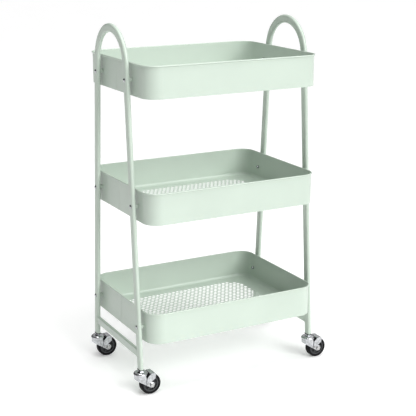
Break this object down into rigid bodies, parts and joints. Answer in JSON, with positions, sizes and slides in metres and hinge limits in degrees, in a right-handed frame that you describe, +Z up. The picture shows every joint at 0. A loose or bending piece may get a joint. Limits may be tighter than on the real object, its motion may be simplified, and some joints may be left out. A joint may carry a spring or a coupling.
{
  "type": "rolling utility cart",
  "caption": "Open rolling cart with shallow rounded trays, perforated floors, splayed arched tube ends that form carrying handles, and small braked swivel casters.",
  "frame": {"origin": "on the floor, at the middle of the cart's whole footprint with the casters trailing towards +X", "axes": "+Z up, X along the trays' long side, Y across them, front is -Y and left is -X"},
  "size_m": [0.53, 0.3368, 0.85],
  "materials": {
    "painted_steel": "satin powder coat",
    "painted_spacer": "satin powder coat",
    "chromed_steel": "polished",
    "bright_steel": "zinc plated",
    "bearing_steel": "polished",
    "black_plastic": "moulded",
    "grey_plastic": "moulded",
    "black_rubber": "matt"
  },
  "bodies": {
    "cart": {"left_arch_frame": "painted_steel", "left_crossbar": "painted_steel", "right_arch_frame": "painted_steel", "right_crossbar": "painted_steel", "bottom_tray_wall": "painted_steel", "bottom_tray_floor": "painted_steel", "bottom_tray_bolts": "chromed_steel", "bottom_tray_spacers": "painted_spacer", "bottom_tray_cap_nuts": "chromed_steel", "middle_tray_wall": "painted_steel", "middle_tray_floor": "painted_steel", "middle_tray_bolts": "chromed_steel", "middle_tray_spacers": "painted_spacer", "middle_tray_cap_nuts": "chromed_steel", "top_tray_wall": "painted_steel", "top_tray_floor": "painted_steel", "top_tray_bolts": "chromed_steel", "top_tray_spacers": "painted_spacer", "top_tray_cap_nuts": "chromed_steel", "leg_end_plugs": "black_plastic", "caster_stems": "chromed_steel", "caster_top_cups": "chromed_steel"},
    "front_left_caster_swivel": {"front_left_caster_fork": "chromed_steel", "front_left_caster_bearing_balls": "bearing_steel", "front_left_caster_axle_bolt": "bright_steel", "front_left_caster_axle_nut": "bright_steel", "front_left_caster_brake_rivets": "bright_steel"},
    "front_left_caster_wheel": {"front_left_caster_wheel_core": "grey_plastic", "front_left_caster_tyre": "black_rubber"},
    "front_left_caster_brake": {"front_left_caster_brake_saddle": "chromed_steel"},
    "front_right_caster_swivel": {"front_right_caster_fork": "chromed_steel", "front_right_caster_bearing_balls": "bearing_steel", "front_right_caster_axle_bolt": "bright_steel", "front_right_caster_axle_nut": "bright_steel", "front_right_caster_brake_rivets": "bright_steel"},
    "front_right_caster_wheel": {"front_right_caster_wheel_core": "grey_plastic", "front_right_caster_tyre": "black_rubber"},
    "front_right_caster_brake": {"front_right_caster_brake_saddle": "chromed_steel"},
    "rear_left_caster_swivel": {"rear_left_caster_fork": "chromed_steel", "rear_left_caster_bearing_balls": "bearing_steel", "rear_left_caster_axle_bolt": "bright_steel", "rear_left_caster_axle_nut": "bright_steel", "rear_left_caster_brake_rivets": "bright_steel"},
    "rear_left_caster_wheel": {"rear_left_caster_wheel_core": "grey_plastic", "rear_left_caster_tyre": "black_rubber"},
    "rear_left_caster_brake": {"rear_left_caster_brake_saddle": "chromed_steel"},
    "rear_right_caster_swivel": {"rear_right_caster_fork": "chromed_steel", "rear_right_caster_bearing_balls": "bearing_steel", "rear_right_caster_axle_bolt": "bright_steel", "rear_right_caster_axle_nut": "bright_steel", "rear_right_caster_brake_rivets": "bright_steel"},
    "rear_right_caster_wheel": {"rear_right_caster_wheel_core": "grey_plastic", "rear_right_caster_tyre": "black_rubber"},
    "rear_right_caster_brake": {"rear_right_caster_brake_saddle": "chromed_steel"}
  },
  "joints": [
    {"name": "front_left_swivel", "type": "hinge", "parent": "cart", "child": "front_left_caster_swivel", "pos_m": [-0.248, -0.129, 0.0518], "axis": [0, 0, 1], "continuous": true},
    {"name": "front_left_wheel_roll", "type": "hinge", "parent": "front_left_caster_swivel", "child": "front_left_caster_wheel", "pos_m": [-0.225, -0.129, 0.025], "axis": [0, 1, 0], "continuous": true},
    {"name": "front_left_brake_press", "type": "hinge", "parent": "front_left_caster_swivel", "child": "front_left_caster_brake", "pos_m": [-0.235, -0.129, 0.029], "axis": [0, 1, 0], "range_deg": [0, 10]},
    {"name": "front_right_swivel", "type": "hinge", "parent": "cart", "child": "front_right_caster_swivel", "pos_m": [0.217, -0.129, 0.0518], "axis": [0, 0, 1], "continuous": true},
    {"name": "front_right_wheel_roll", "type": "hinge", "parent": "front_right_caster_swivel", "child": "front_right_caster_wheel", "pos_m": [0.24, -0.129, 0.025], "axis": [0, 1, 0], "continuous": true},
    {"name": "front_right_brake_press", "type": "hinge", "parent": "front_right_caster_swivel", "child": "front_right_caster_brake", "pos_m": [0.23, -0.129, 0.029], "axis": [0, 1, 0], "range_deg": [0, 10]},
    {"name": "rear_left_swivel", "type": "hinge", "parent": "cart", "child": "rear_left_caster_swivel", "pos_m": [-0.248, 0.129, 0.0518], "axis": [0, 0, 1], "continuous": true},
    {"name": "rear_left_wheel_roll", "type": "hinge", "parent": "rear_left_caster_swivel", "child": "rear_left_caster_wheel", "pos_m": [-0.225, 0.129, 0.025], "axis": [0, 1, 0], "continuous": true},
    {"name": "rear_left_brake_press", "type": "hinge", "parent": "rear_left_caster_swivel", "child": "rear_left_caster_brake", "pos_m": [-0.235, 0.129, 0.029], "axis": [0, 1, 0], "range_deg": [0, 10]},
    {"name": "rear_right_swivel", "type": "hinge", "parent": "cart", "child": "rear_right_caster_swivel", "pos_m": [0.217, 0.129, 0.0518], "axis": [0, 0, 1], "continuous": true},
    {"name": "rear_right_wheel_roll", "type": "hinge", "parent": "rear_right_caster_swivel", "child": "rear_right_caster_wheel", "pos_m": [0.24, 0.129, 0.025], "axis": [0, 1, 0], "continuous": true},
    {"name": "rear_right_brake_press", "type": "hinge", "parent": "rear_right_caster_swivel", "child": "rear_right_caster_brake", "pos_m": [0.23, 0.129, 0.029], "axis": [0, 1, 0], "range_deg": [0, 10]}
  ]
}
